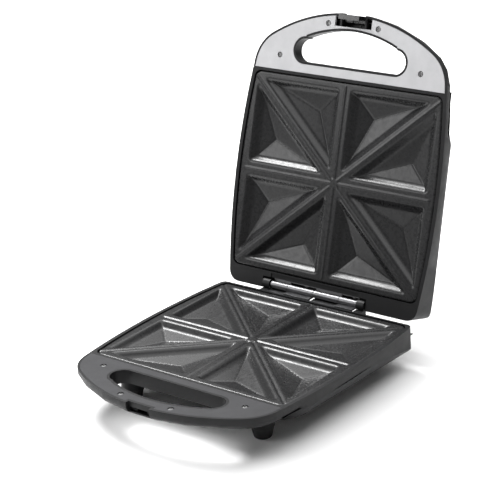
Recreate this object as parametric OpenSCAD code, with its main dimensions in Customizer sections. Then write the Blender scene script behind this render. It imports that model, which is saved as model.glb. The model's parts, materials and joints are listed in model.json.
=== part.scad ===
// Sandwich toaster with two hinged halves and eight triangular pockets a plate.
// The origin is on the table under the middle of the plates. +Y runs to the hinge, -Y to the handle.
// The lid is drawn shut and then swung open about the hinge pin, which is how it stands at rest.

/* [Plates] */
// Width of each cooking plate at its corners
plate_width = 229; // [200:1:250]
// Depth of each cooking plate, from handle to hinge
plate_depth = 206.6; // [185:1:225]
// How far each side of the plates and shells bows out
side_bow = 6.5; // [4:0.5:8]
// Radius of the plate's corners
plate_corner = 7; // [4:0.5:12]
// Thickness of the cast plate
plate_wall = 3; // [2.4:0.1:3.4]
// Depth of the turned-down edge of the plate
skirt_depth = 9; // [7:0.5:11]
// Flat border between the pockets and the plate's front and rear edge
plate_border = 8; // [6:0.5:12]
// Flat border between the pockets and the plate's sides, at the corners
side_border = 4.5; // [4:0.5:8]
// Half width of the two straight ridges
ridge_half = 8; // [7:0.5:10]
// Half width of the diagonal ridges
diagonal_half = 5.5; // [5:0.5:8]
// Depth of the steep pocket wall
pocket_wall_depth = 5.5; // [4.5:0.5:6.5]
// How far the steep wall leans in over its depth
pocket_lean = 3.5; // [2.5:0.5:5]
// Depth of a pocket at its deepest point
pocket_depth = 9; // [8:0.5:10]
// Width of the sealing groove along the ridges
groove_width = 2.6; // [1.5:0.1:4]
// Depth of the sealing groove
groove_depth = 0.8; // [0.4:0.1:1.2]

/* [Shells] */
// Height of the base's top edge above the table
part_height = 46; // [42:0.5:54]
// Height of the lid above its own bottom edge
lid_height = 38; // [36:0.5:46]
// Width of the shell's rim around the plates
rim_width = 5; // [4.2:0.1:8]
// Wall thickness of both shells
shell_wall = 2.4; // [2:0.1:3]
// Wall thickness around the handles
grip_wall = 2.2; // [1.8:0.1:2.6]
// How far the plates lie below the shells' edges
plate_recess = 0.7; // [0.4:0.1:1.5]
// Radius of the base's rounded bottom edges
base_shoulder = 29; // [25:1:30]
// Radius of the lid's rounded top edges
lid_shoulder = 30; // [26:1:32]
// Radius of the rounded edges at the rear of both halves
rear_round = 12; // [10:0.5:13]
// Radius of the base's front corners, where the tub runs into the handle
base_turn_r = 42; // [36:1:46]
// Radius of the lid's front corners, where the tub runs into the handle
lid_turn_r = 60; // [50:1:62]
// How steeply the base's underside rises toward the handle
base_slope = 1.75; // [1:0.25:2]
// How steeply the lid's top falls toward the handle
lid_slope = 2; // [1:0.25:2.25]
// Thickness of the base handle
base_band = 14; // [13.5:0.1:15]
// Thickness of the lid handle
lid_band = 12; // [11.6:0.1:12.6]
// How far the lid's rear lobes stand behind the base
lobe_reach = 16; // [14:0.5:18]

/* [Handles] */
// How far the handles reach in front of the plates
handle_reach = 70; // [64:1:90]
// Radius of the handles' front edge
handle_front_r = 185; // [160:5:260]
// Radius of the handles' corners
handle_corner_r = 42; // [34:1:46]
// Width of the handle bar in front of the finger slot
bar_width = 18; // [17:0.5:22]
// Distance from the plate to the finger slot
slot_offset = 15.2; // [15:0.1:18]
// Radius of the finger slot's front edge
slot_front_r = 140; // [120:5:170]
// Radius of the finger slot's ends
slot_end_r = 12; // [9:0.5:13]
// Thickness of the two handle covers
cover_thick = 2.5; // [2:0.1:3]

/* [Hinge] */
// Angle between the plates when the lid stands open
open_angle = 106.5; // [95:0.5:112]
// Distance of the hinge pin behind the plates
hinge_back = 14; // [13.5:0.1:15]
// Height of the hinge pin over the base's top edge
hinge_rise = 3.5; // [3.3:0.1:4]
// Middle of the hinge, left of the object's middle
hinge_shift = 8; // [0:1:12]
// Length over the four knuckles
hinge_length = 108.4; // [90:1:116]
// Outer radius of the knuckles
knuckle_r = 4; // [3.6:0.1:4.2]
// Radius of the hinge pin
hinge_pin_r = 2.2; // [1.8:0.1:2.5]
// Thickness of the hinge leaves
leaf_thick = 1.6; // [1.2:0.1:1.8]

/* [Latch] */
// Width of the latch
latch_width = 25; // [20:0.5:27]
// How far the latch reaches below the lid's edge
latch_drop = 9.8; // [8:0.1:11]
// Thickness of the latch arm
latch_arm = 2.6; // [2:0.1:3]
// How far the hook reaches under its catch
hook_bite = 2; // [1.6:0.1:2.2]
// Radius of the latch pin
latch_pin_r = 1.5; // [1.2:0.1:1.8]

/* [Feet] */
// Radius of the feet at their top
foot_r = 11.5; // [9:0.5:13]
// Height of the feet
foot_height = 12; // [8:0.5:14]
// Distance of the feet from the middle, to each side
foot_x = 80; // [70:1:88]
// Distance of the front feet in front of the middle
foot_front = 91; // [75:1:91]
// Distance of the rear feet behind the middle
foot_rear = 87; // [72:1:91]

/* [Heating] */
// Diameter of the heating elements
element_d = 6.5; // [6:0.1:7]
// Width of the element's loop
element_width = 168; // [150:1:171]
// Depth of the element's loop
element_depth = 140; // [124:1:146]
// Thickness of the reflector trays
reflector_thick = 0.8; // [0.5:0.1:1]

/* [Clearances] */
// Gap between the two shells when shut
shut_gap = 0.6; // [0.4:0.1:1]
// Gap around a plate or cover in its shell
seat_gap = 0.25; // [0.15:0.05:0.4]
// Gap around the plate's edge
plate_gap = 0.8; // [0.5:0.1:1.2]
// Radial running clearance of a pin in its bore
pin_clearance = 0.05; // [0.02:0.01:0.1]
// Gap between a moving piece and its neighbour
moving_gap = 0.4; // [0.3:0.05:0.6]

/* [Hidden] */
$fn = 64;

// Heights
lid_edge = part_height + shut_gap;
lower_rim = part_height - plate_recess;
upper_rim = lid_edge + plate_recess;
lid_top = lid_edge + lid_height;
hinge_z = part_height + hinge_rise;

// Plan
half_w = plate_width / 2;
half_d = plate_depth / 2;
shell_half = half_w + rim_width + side_bow;
bow_r = (half_d * half_d + side_bow * side_bow) / (2 * side_bow);
hinge_y = half_d + hinge_back;
rear_wall = half_d + 2.8;
lobe_y = rear_wall + lobe_reach;
bay_y = hinge_y - knuckle_r - 3.3;
divider_y = -half_d - 1.3;
tub_front = divider_y - shell_wall - 1;
seam_y = divider_y - shell_wall - 0.6;
front_y = -half_d - handle_reach;
rear_corner_r = 6;
lobe_corner_r = 13;

// Finger slot
slot_y = -half_d - slot_offset;
slot_front_y = front_y + bar_width;
slot_arc_y = slot_front_y + slot_front_r;
slot_end_y = slot_y - slot_end_r;
slot_end_x = sqrt(pow(slot_front_r - slot_end_r, 2) - pow(slot_end_y - slot_arc_y, 2));

// Front corners, tangent to the bowed side and to the front edge
front_arc_y = front_y + handle_front_r;
corner_centre = circles_meet([shell_half - bow_r, 0], bow_r - handle_corner_r,
                             [0, front_arc_y], handle_front_r - handle_corner_r);

// Direction in which the handle's front arc runs into its corner
corner_meet = atan2(front_arc_y - corner_centre[1], corner_centre[0]);

// Direction in which the bowed side runs into that corner
bow_meet = asin(-corner_centre[1] / (bow_r - handle_corner_r));

// How far a shell reaches in the direction turned from +X toward -Y
function handle_support(turn) = turn > corner_meet
    ? handle_front_r - front_arc_y * sin(turn)
    : turn < bow_meet
        ? (shell_half - bow_r) * cos(turn) + bow_r
        : corner_centre[0] * cos(turn) - corner_centre[1] * sin(turn) + handle_corner_r;

// How far a tub with corners of radius big reaches in the same direction
function tub_support(turn, big) =
    (shell_half - big) * cos(turn) - (tub_front + big) * sin(turn) + big;

// Depth of a half's flat at y, below its edge
function floor_depth(depth, rear, slope, y) = depth - (rear - y) * tan(slope);

// Plate
underside = plate_wall - 0.5;
pocket_x0 = ridge_half;
pocket_x1 = half_w - side_border;
pocket_y1 = half_d - plate_border;
tray_drop = pocket_depth + underside;
element_drop = tray_drop + element_d / 2 + 0.1;
strap_thick = 1.2;
strap_drop = element_drop + element_d / 2;
reflector_drop = strap_drop + strap_thick + 2.5;
post_r = 4;

// Screws
screw_r = 1.4;
pilot_r = 1.45;
head_r = 2.8;
boss_r = 3.6;

// Cover screws, one at each side and one at each end of the latch window
side_screw = [half_w - 28, slot_y - 4];
bar_screw = [30.5, (slot_front_y + front_y) / 2 + 3.4];
cover_screws = [
    [-side_screw[0], side_screw[1]], [-bar_screw[0], bar_screw[1]],
    [bar_screw[0], bar_screw[1]], [side_screw[0], side_screw[1]]
];

// Plate tabs
tab_x = 58;
tab_width = 14;
tab_thick = 2.5;
tab_reach = 11;
tab_hole = 8;
tab_low = 6.5;

// Latch
latch_pin_y = front_y + 7.5;
latch_pin_z = lid_edge + 6.9;
arm_out = front_y + 1.5;
arm_in = arm_out + latch_arm;
catch_face = arm_in + moving_gap + 0.1;
hook_bottom = lid_edge - latch_drop;
hook_thick = 2.8;
catch_edge = hook_bottom + hook_thick + moving_gap + 0.4;
notch_half = latch_width / 2 + 1.5;
window_half = latch_width / 2 + 10;
window_rear = slot_front_y - 4;
latch_roof = lid_edge + lid_band - 1.4;

// Hinge
hinge_mid = -hinge_shift;
knuckle_gap = 0.6;
short_share = 0.2;
short_knuckle = (hinge_length - 3 * knuckle_gap) * short_share;
long_knuckle = (hinge_length - 3 * knuckle_gap) * (0.5 - short_share);
knuckle_1 = hinge_mid - hinge_length / 2;
knuckle_2 = knuckle_1 + short_knuckle + knuckle_gap;
knuckle_3 = knuckle_2 + long_knuckle + knuckle_gap;
knuckle_4 = knuckle_3 + long_knuckle + knuckle_gap;
ear_width = 9;
ear_gap = 1;
bay_half = hinge_length / 2 + ear_gap + ear_width + 1.3;
bay_roof = hinge_z + 13.5;
tongue_top = hinge_z - knuckle_r + leaf_thick;
lower_leaf_bottom = part_height - 26;
leaf_screw_z = (lower_leaf_bottom + part_height) / 2 - 2;
upper_leaf_top = bay_roof - 1.5;
upper_screw_z = hinge_z + 8.8;
leaf_screws = [hinge_mid - hinge_length / 2 + 10, hinge_mid - 16, hinge_mid + 16,
               hinge_mid + hinge_length / 2 - 10];

// Inner parts
reflector_x = half_w - 22;
reflector_y = half_d - 24;
reflector_posts = [[-62, -48], [62, -48], [-62, 52], [62, 52]];
leg_x = 20;
leg_tip = half_d - 7.3;
lens_y = -half_d + 45;
lens_top = lid_edge + floor_depth(lid_height, lobe_y, lid_slope, lens_y);
lens_x = 12;
lamp_post_x = 30;
holder_z = upper_rim + reflector_drop + reflector_thick + 0.6;
lens_r = 4.5;
gland_x = 80;
gland_z = foot_height + 14;
gland_r = 6;
gland_wall = 8.5;
block_x = gland_x - 42;
block_y = half_d - 13.3;
block_z = foot_height + 8.2;
gland_bore = 3.6;
feet = [[-foot_x, -foot_front], [foot_x, -foot_front], [-foot_x, foot_rear], [foot_x, foot_rear]];

black = [0.08, 0.08, 0.085];
charcoal = [0.2, 0.2, 0.21];
light_grey = [0.75, 0.75, 0.76];
coating = [0.11, 0.11, 0.12];
steel = [0.72, 0.72, 0.73];

// Where two circles cross, on the side with the lower y
function circles_meet(a, ra, b, rb) =
    let (d = norm(b - a), u = (b - a) / d, along = (ra * ra - rb * rb + d * d) / (2 * d),
         off = sqrt(ra * ra - along * along))
    a + along * u + off * [u[1], -u[0]];

// Swings what it holds, drawn shut, to where it lies when the lid stands open
module open_lid() {
    translate([0, hinge_y, hinge_z]) rotate([-open_angle, 0, 0]) translate([0, -hinge_y, -hinge_z])
        children();
}

// Puts inner parts, drawn downward from a plate's rim, into the base or the lid
module in_base() {
    translate([0, 0, lower_rim]) children();
}
module in_lid() {
    open_lid() translate([0, 0, upper_rim]) mirror([0, 0, 1]) children();
}

// Both mirror images of what it holds
module both_sides() {
    children();
    mirror([1, 0, 0]) children();
}

// Plan of a shell: bowed sides, a straight rear edge and the D of the handle in front
module shell_plan(inset, rear, rear_r) {
    cx = shell_half - bow_r + sqrt(pow(bow_r - rear_r, 2) - pow(rear - rear_r, 2));
    rear_side = (rear - rear_r) * bow_r / (bow_r - rear_r);
    front_side = corner_centre[1] * bow_r / (bow_r - handle_corner_r);
    front_reach = corner_centre[0] * handle_front_r / (handle_front_r - handle_corner_r);
    big = bow_r - inset;
    intersection() {
        translate([shell_half - bow_r, 0]) circle(r = big, $fn = 720);
        translate([bow_r - shell_half, 0]) circle(r = big, $fn = 720);
        translate([-shell_half, front_side]) square([2 * shell_half, rear_side - front_side]);
    }
    both_sides() {
        translate([cx, rear - rear_r]) circle(r = rear_r - inset);
        translate(corner_centre) circle(r = handle_corner_r - inset, $fn = 128);
    }
    translate([-cx, rear - rear_r - 10]) square([2 * cx, rear_r + 10 - inset]);
    intersection() {
        translate([0, front_arc_y]) circle(r = handle_front_r - inset, $fn = 360);
        translate([-front_reach, front_y]) square([2 * front_reach, -front_y]);
    }
}

// Plan of a plate, or of the opening that it drops into
module plate_plan(grow) {
    r = plate_corner + grow;
    y = half_d + grow;
    side = half_w + side_bow + grow;
    big = bow_r + grow;
    cx = side - big + sqrt(pow(big - r, 2) - pow(y - r, 2));
    reach = (y - r) * big / (big - r);
    intersection() {
        translate([side - big, 0]) circle(r = big, $fn = 720);
        translate([big - side, 0]) circle(r = big, $fn = 720);
        square([2 * side, 2 * reach], center = true);
    }
    square([2 * cx, 2 * y], center = true);
    both_sides() {
        translate([cx, y - r]) circle(r = r);
        translate([cx, r - y]) circle(r = r);
    }
}

// Plan of the finger slot
module slot_plan(grow) {
    intersection() {
        translate([0, slot_arc_y]) circle(r = slot_front_r + grow, $fn = 360);
        translate([-slot_end_x, slot_front_y - grow])
            square([2 * slot_end_x, slot_y - slot_front_y + 2 * grow]);
    }
    both_sides() translate([slot_end_x, slot_end_y]) circle(r = slot_end_r + grow);
}

// Points along an arc, used for the rounded edges seen from the side
function arc_points(c, r, from, to, n) =
    [for (i = [0:n]) c + r * [cos(from + (to - from) * i / n), sin(from + (to - from) * i / n)]];

// Side view of a tub that hangs down from z = 0, with rounded lower edges
module tub_profile(low, high, depth, r) {
    polygon(concat([[high, 9], [low, 9]], arc_points([low + r, r - depth], r, 180, 270, 12),
                   arc_points([high - r, r - depth], r, 270, 360, 12)));
}

// Side view of a handle with a rounded edge that starts at low
module handle_profile(low, band) {
    r = band - 2.5;
    polygon(concat([[300, 2], [low, 2]], arc_points([low + r, r - band], r, 180, 270, 9), [[300, -band]]));
}

// Rounds both front corners of a tub in the direction turned from +X toward -Y
module tub_turn(turn, inset, deep, r, big) {
    low = inset - tub_support(turn, big);
    intersection() {
        rotate([90, 0, 180 - turn]) linear_extrude(600, center = true) tub_profile(low, 300, deep, r);
        rotate([90, 0, turn]) linear_extrude(600, center = true) tub_profile(low, 300, deep, r);
    }
}

// Rounds a handle's edge at both sides in the direction turned from +X toward -Y
module handle_turn(turn, band) {
    low = -handle_support(turn) - 0.05;
    intersection() {
        rotate([90, 0, 180 - turn]) linear_extrude(600, center = true) handle_profile(low, band);
        rotate([90, 0, turn]) linear_extrude(600, center = true) handle_profile(low, band);
    }
}

// The tub of a half, hanging down from z = 0, drawn smaller by inset for its hollow
module tub_form(inset, depth, shoulder, rear, rear_r, slope, big) {
    r = shoulder - inset;
    deep = depth - inset;
    lift = inset > 0 ? 1 : 0;
    intersection() {
        translate([0, 0, -depth - 1]) linear_extrude(depth + 1 + lift) shell_plan(inset, rear, rear_r);
        rotate([90, 0, 90]) linear_extrude(600, center = true)
            tub_profile(-300, rear - inset, deep, rear_round - inset);
        translate([0, rear, 0]) rotate([-slope, 0, 0]) translate([0, -rear, 0]) intersection() {
            rotate([90, 0, 0]) linear_extrude(600, center = true)
                tub_profile(inset - shell_half - 0.05, shell_half + 0.05 - inset, deep, r);
            rotate([90, 0, 90]) linear_extrude(600, center = true)
                tub_profile(tub_front + inset, 300, deep, r);
            tub_turn(18, inset, deep, r, big);
            tub_turn(36, inset, deep, r, big);
            tub_turn(54, inset, deep, r, big);
            tub_turn(72, inset, deep, r, big);
        }
    }
}

// The handle of a half, with its lower edge rounded all round
module handle_form(band, rear, rear_r) {
    intersection() {
        translate([0, 0, -band - 1]) linear_extrude(band + 1) shell_plan(0, rear, rear_r);
        rotate([90, 0, 90]) linear_extrude(600, center = true) handle_profile(front_y - 0.05, band);
        handle_turn(0, band);
        handle_turn(5, band);
        handle_turn(20, band);
        handle_turn(40, band);
        handle_turn(58, band);
        handle_turn(69, band);
        handle_turn(80, band);
    }
}

// The hollow of a handle, stepped in to follow its rounded edge
module handle_hollow(band, rear) {
    translate([0, 0, -3.4]) linear_extrude(9) shell_plan(grip_wall, rear, 13);
    translate([0, 0, -band * 0.55]) linear_extrude(11) shell_plan(grip_wall + 1.5, rear, 13);
    translate([0, 0, grip_wall - band]) linear_extrude(band) shell_plan(grip_wall + 5, rear, 13);
}

// A shell with its plate opening, handle cavity, bosses and ribs, hanging down from z = 0
module half_shell(depth, band, shoulder, rear, rear_r, slope, big, latch_rear) {
    difference() {
        union() {
            tub_form(0, depth, shoulder, rear, rear_r, slope, big);
            handle_form(band, rear, rear_r);
        }
        intersection() {
            tub_form(shell_wall, depth, shoulder, rear, rear_r, slope, big);
            translate([-200, divider_y, -depth]) cube([400, 300, depth - 3]);
        }
        translate([0, 0, -plate_recess - skirt_depth - 0.4])
            linear_extrude(plate_recess + skirt_depth + 2) plate_plan(plate_gap);
        difference() {
            intersection() {
                handle_hollow(band, rear);
                translate([-200, front_y - 10, -band])
                    cube([400, divider_y - shell_wall - front_y + 10, 200]);
            }
            linear_extrude(4 * band, center = true) slot_plan(grip_wall);
            latch_wall(band, latch_rear);
        }
        linear_extrude(4 * depth, center = true) slot_plan(0);
        plate_windows();
    }
    half_bosses(depth, band, rear, slope, min(rear, bay_y) - 1);
}

// The block behind the latch, which stays when the handle is hollowed
module latch_wall(band, latch_rear) {
    translate([-notch_half - grip_wall, front_y - 1, -2 * band])
        cube([2 * (notch_half + grip_wall), latch_rear + grip_wall - front_y + 1, 4 * band]);
}

// Windows for the plate's tabs in the divider and in the rear wall
module plate_windows() {
    low = plate_recess + tab_low + 0.1;
    for (side = [-1, 1]) {
        translate([side * tab_x - tab_width / 2 - 0.5, divider_y - shell_wall - 1, -low])
            cube([tab_width + 1, shell_wall + 2, tab_thick + 0.8]);
        translate([side * tab_x - tab_width / 2 - 0.5, rear_wall - shell_wall - 1, -low])
            cube([tab_width + 1, 2.6, tab_thick + 0.8]);
    }
}

// Bosses and ribs inside a shell
module half_bosses(depth, band, rear, slope, rib_end) {
    seat = plate_recess + skirt_depth;
    rib = 3;
    rib_y = 30;
    rib_x = shell_half - rib_y * rib_y / (2 * bow_r) - 9.5;
    for (p = cover_screws)
        translate([p[0], p[1], 1 - band]) screw_boss(band - cover_thick - 1.05);
    for (side = [-1, 1]) {
        translate([side * tab_x, -half_d - tab_hole, 1 - band])
            screw_boss(band - plate_recess - tab_low - 1.05);
        translate([side * 30 - 1, divider_y - 1, -seat - rib]) cube([2, 7, rib]);
        translate([side * 30 - 1, half_d - 6, -seat - rib]) cube([2, rib_end - half_d + 6, rib]);
    }
    both_sides() for (y = [-rib_y, rib_y]) translate([rib_x, y - 1, -seat - rib]) cube([6.6, 2, rib]);
    for (p = reflector_posts) {
        low = floor_depth(depth, rear, slope, p[1]) - 1;
        translate([p[0], p[1], -low]) screw_boss(low - plate_recess - reflector_drop - reflector_thick);
    }
}

// A round boss with a pilot hole, standing on z = 0
module screw_boss(height) {
    difference() {
        cylinder(r = boss_r, h = height);
        translate([0, 0, max(height - 9, 0.8)]) cylinder(r = pilot_r, h = 20);
    }
}

// A pan-head screw whose head stands on z = 0 and whose shank points down
module pan_screw(shank, head = head_r) {
    difference() {
        union() {
            cylinder(r = head, h = 1.1);
            translate([0, 0, 1.1]) cylinder(r1 = head, r2 = head * 0.6, h = 0.7);
            translate([0, 0, -shank]) cylinder(r = screw_r, h = shank + 0.5);
        }
        for (a = [0, 90]) rotate(a) translate([-head * 0.6, -0.4, 0.9]) cube([head * 1.2, 0.8, 2]);
    }
}

// A sunk cover screw, its head flush just below the cover's face at z = 0
module sunk_screws(band) {
    for (p = cover_screws) translate([p[0], p[1], -2.1]) pan_screw(min(band - cover_thick - 3, 7));
}

// A handle cover with its slot, screw holes and latch opening, top face at z = 0
module handle_cover() {
    difference() {
        intersection() {
            translate([0, 0, -cover_thick]) linear_extrude(cover_thick) difference() {
                shell_plan(grip_wall + seat_gap, rear_wall, rear_corner_r);
                slot_plan(grip_wall + seat_gap);
            }
            translate([-200, front_y - 10, -20])
                cube([400, divider_y - shell_wall - seat_gap - front_y + 10, 40]);
        }
        for (p = cover_screws) translate([p[0], p[1], 0]) {
            cylinder(r = screw_r + 0.4, h = 20, center = true);
            translate([0, 0, -2.2]) cylinder(r = head_r + 0.3, h = 5);
        }
        children();
    }
}

// The base's moulding with its handle, before the handle is parted off
module base_form() {
    translate([0, 0, part_height])
        half_shell(part_height - foot_height, base_band, base_shoulder, rear_wall, rear_corner_r,
                   base_slope, base_turn_r, catch_face);
}

// Everything in front of the seam between the handle and the tub
module front_of_seam() {
    translate([-200, seam_y - 200, -50]) cube([400, 200, 200]);
}

module base_shell() {
    color(charcoal) difference() {
        union() {
            difference() {
                base_form();
                front_of_seam();
            }
            hinge_pad();
            translate([block_x + 2, block_y + 1, foot_height + 1.5])
                cube([23, 7.5, block_z - foot_height - 1.55]);
            hinge_ears();
            foot_sockets();
            translate([gland_x, rear_wall, gland_z]) rotate([90, 0, 0])
                cylinder(r = gland_r + 3.5, h = gland_wall);
        }
        for (x = leaf_screws) translate([x, rear_wall + 1, leaf_screw_z])
            rotate([90, 0, 0]) cylinder(r = pilot_r, h = 20);
        translate([gland_x, rear_wall + 1, gland_z]) rotate([90, 0, 0])
            cylinder(r = gland_r, h = 20);
        for (p = feet) translate([p[0], p[1], foot_height - 1]) cylinder(r = pilot_r, h = 5.8);
    }
}

// The base's handle, with the catch that the latch hooks under
module base_handle() {
    color(charcoal) difference() {
        intersection() {
            base_form();
            front_of_seam();
        }
        translate([-notch_half, front_y - 5, part_height - base_band - 1])
            cube([2 * notch_half, catch_face - front_y + 5, part_height]);
        translate([-notch_half, catch_face - 1, hook_bottom - 1])
            cube([2 * notch_half, grip_wall + 1.5, catch_edge - hook_bottom + 1]);
    }
}

// A thick pad inside the rear wall that takes the hinge screws
module hinge_pad() {
    translate([hinge_mid - hinge_length / 2 - 2, rear_wall - shell_wall - 3.5, leaf_screw_z - 4.5])
        cube([hinge_length + 4, 4.5, 9]);
}

// Round sockets that carry the feet
module foot_sockets() {
    front_flat = floor_depth(part_height - foot_height, rear_wall, base_slope, -foot_front);
    for (p = feet) translate([p[0], p[1], foot_height])
        cylinder(r = foot_r, h = p[1] < 0 ? part_height - front_flat + 3.8 - foot_height : 5.6);
}

// Ears at both ends of the hinge that hold the pin's ends
module hinge_ears() {
    ear_r = knuckle_r + 1.6;
    for (side = [-1, 1])
        translate([hinge_mid + side * (hinge_length / 2 + ear_gap + ear_width / 2), 0, 0]) difference() {
            union() {
                translate([0, hinge_y, hinge_z]) rotate([0, 90, 0])
                    cylinder(r = ear_r, h = ear_width, center = true);
                translate([-ear_width / 2, rear_wall - 0.5, hinge_z - ear_r - 12])
                    cube([ear_width, hinge_y - rear_wall + 0.5, ear_r + 12 - 4]);
                translate([-ear_width / 2, hinge_y - 1, hinge_z - ear_r])
                    cube([ear_width, ear_r - 1, ear_r - 1]);
            }
            translate([0, hinge_y, hinge_z]) rotate([0, 90, 0])
                cylinder(r = hinge_pin_r + pin_clearance, h = ear_width + 2, center = true);
        }
}

module base_handle_cover() {
    color(charcoal) translate([0, 0, part_height]) handle_cover()
        translate([-notch_half - grip_wall - seat_gap, front_y - 1, -20])
            cube([2 * (notch_half + grip_wall + seat_gap),
                  catch_face + grip_wall + seat_gap - front_y + 1, 40]);
}

module base_cover_screws() {
    color(steel) translate([0, 0, part_height]) sunk_screws(base_band);
}

// One pocket's cavity: three steep walls and a floor of three faces that meet at the incentre
module pocket_cavity(corners, grow) {
    top = [for (i = [0:2]) moved_corner(corners, i, -grow)];
    foot = [for (i = [0:2]) moved_corner(corners, i, pocket_lean - grow)];
    centre = incentre(corners);
    deep = pocket_depth + (grow > 0 ? underside : 0);
    floor_z = pocket_wall_depth + (grow > 0 ? plate_wall : 0);
    rise = grow > 0 ? 0 : 0.01;
    points = concat([for (p = top) [p[0], p[1], rise]], [for (p = foot) [p[0], p[1], -floor_z]],
                    [[centre[0], centre[1], -deep]]);
    polyhedron(points, [[2, 1, 0], [3, 0, 1], [4, 3, 1], [4, 1, 2], [5, 4, 2], [5, 2, 0], [3, 5, 0],
                        [6, 3, 4], [6, 4, 5], [6, 5, 3]]);
}

// A triangle's corner, moved in by the same distance from both of its sides
function moved_corner(c, i, d) =
    let (p = c[i], a = unit(c[(i + 1) % 3] - p), b = unit(c[(i + 2) % 3] - p),
         m = unit(a + b), s = abs(a[0] * m[1] - a[1] * m[0]))
    p + m * d / s;
function unit(v) = v / norm(v);
function incentre(c) =
    let (a = norm(c[1] - c[2]), b = norm(c[2] - c[0]), d = norm(c[0] - c[1]))
    (a * c[0] + b * c[1] + d * c[2]) / (a + b + d);

// The pocket triangle that lies along the straight ridge x = 0, and the one along y = 0
diagonal = unit([pocket_x1 + plate_border / 2, pocket_y1 + plate_border / 2]);
pocket_a = [
    [pocket_x0, (pocket_x0 * diagonal[1] + diagonal_half) / diagonal[0]],
    [(pocket_y1 * diagonal[0] - diagonal_half) / diagonal[1], pocket_y1],
    [pocket_x0, pocket_y1]
];
pocket_b = [
    [(pocket_x0 * diagonal[0] + diagonal_half) / diagonal[1], pocket_x0],
    [pocket_x1, pocket_x0],
    [pocket_x1, (pocket_x1 * diagonal[1] - diagonal_half) / diagonal[0]]
];

// All eight pockets
module pockets(grow) {
    for (sx = [0, 1]) for (sy = [0, 1]) mirror([sx, 0, 0]) mirror([0, sy, 0]) {
        pocket_cavity(pocket_a, grow);
        pocket_cavity(pocket_b, grow);
    }
}

// Sealing lines along the four ridge directions, as bars centred on z = 0
module ridge_lines(width, height) {
    reach = plate_border / 2 + 1;
    run = norm([pocket_x1, pocket_y1]);
    cube([width, 2 * (pocket_y1 + reach), 2 * height], center = true);
    cube([2 * (pocket_x1 + reach), width, 2 * height], center = true);
    for (m = [0, 1]) mirror([m, 0, 0]) rotate(atan2(diagonal[1], diagonal[0]))
        cube([2 * run, width, 2 * height], center = true);
}

// A cooking plate, face up with its rim at z = 0
module cooking_plate(raised) {
    difference() {
        union() {
            translate([0, 0, -plate_wall]) linear_extrude(plate_wall) plate_plan(0);
            translate([0, 0, -skirt_depth]) linear_extrude(skirt_depth) difference() {
                plate_plan(0);
                plate_plan(-2.5);
            }
            intersection() {
                pockets(plate_wall - 0.4);
                translate([-half_w, -half_d, -tray_drop]) cube([plate_width, plate_depth, tray_drop - 0.5]);
            }
            plate_posts();
            both_sides() translate([strap_posts[1][0], -1, 1 - skirt_depth])
                cube([half_w + side_bow - 1.5 - strap_posts[1][0], 2, skirt_depth - 2]);
            for (turn = [0, 180]) rotate(turn) translate([-1, strap_posts[3][1], 1 - skirt_depth])
                cube([2, half_d - 1.5 - strap_posts[3][1], skirt_depth - 2]);
            for (side = [-1, 1]) {
                translate([side * tab_x - tab_width / 2, -half_d - tab_reach, -tab_low])
                    cube([tab_width, tab_reach + 2, tab_thick]);
                translate([side * tab_x - tab_width / 2, half_d - 2, -tab_low])
                    cube([tab_width, 3.4, tab_thick]);
            }
            if (raised) ridge_lines(groove_width - 0.6, groove_depth * 0.6);
        }
        pockets(0);
        if (!raised) ridge_lines(groove_width, groove_depth);
        for (side = [-1, 1]) translate([side * tab_x, -half_d - tab_hole, -20])
            cylinder(r = screw_r + 0.2, h = 40);
    }
}

// Posts under the ridges that take the strap screws
strap_posts = [[-element_width / 2 + 9, 0], [element_width / 2 - 9, 0],
               [0, -element_depth / 2 + 9], [0, element_depth / 2 - 9]];
module plate_posts() {
    for (p = strap_posts) translate([p[0], p[1], -strap_drop]) rotate(25) difference() {
        cylinder(r = post_r, h = strap_drop - 1);
        translate([0, 0, -1]) cylinder(r = pilot_r, h = 11);
    }
}

module lower_plate() {
    color(coating) in_base() cooking_plate(false);
}

module upper_plate() {
    color(coating) in_lid() cooking_plate(true);
}

// Screws that hold a plate's front tabs
module tab_screws() {
    for (side = [-1, 1]) translate([side * tab_x, -half_d - tab_hole, tab_thick - tab_low])
        pan_screw(4);
}

module lower_plate_screws() {
    color(steel) in_base() tab_screws();
}

module upper_plate_screws() {
    color(steel) in_lid() tab_screws();
}

// A bent tubular element: a loop whose two legs leave at the rear
module heating_element() {
    bend = 22;
    r = element_d / 2;
    x = element_width / 2;
    y = element_depth / 2;
    leg_end = leg_tip - 8;
    leg_bend = (leg_end - y) * 0.78;
    translate([0, 0, -element_drop]) {
        both_sides() {
            translate([x - bend, bend - y, 0]) elbow(bend, r, -90);
            translate([x - bend, y - bend, 0]) elbow(bend, r, 0);
            translate([x, bend - y, 0]) rotate([-90, 0, 0]) cylinder(r = r, h = 2 * (y - bend), $fn = 32);
            translate([leg_x + leg_bend, y, 0]) rotate([0, 90, 0])
                cylinder(r = r, h = x - bend - leg_x - leg_bend, $fn = 32);
            translate([leg_x + leg_bend, y + leg_bend, 0]) elbow(leg_bend, r, 180);
            translate([leg_x, y + leg_bend, 0]) rotate([-90, 0, 0]) {
                cylinder(r = r, h = leg_end - y - leg_bend, $fn = 32);
                cylinder(r = r * 0.8, h = leg_end - y - leg_bend + 2, $fn = 32);
                cylinder(r = 1.1, h = leg_end - y - leg_bend + 7, $fn = 24);
            }
        }
        translate([bend - x, -y, 0]) rotate([0, 90, 0]) cylinder(r = r, h = 2 * (x - bend), $fn = 32);
    }
}

// A quarter bend of a round bar about the z axis, starting at angle a
module elbow(bend, r, a) {
    rotate(a) rotate_extrude(angle = 90, $fn = 96) translate([bend, 0]) circle(r = r, $fn = 32);
}

module lower_heating_element() {
    color(steel) in_base() heating_element();
}

module upper_heating_element() {
    color(steel) in_lid() heating_element();
}

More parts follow.
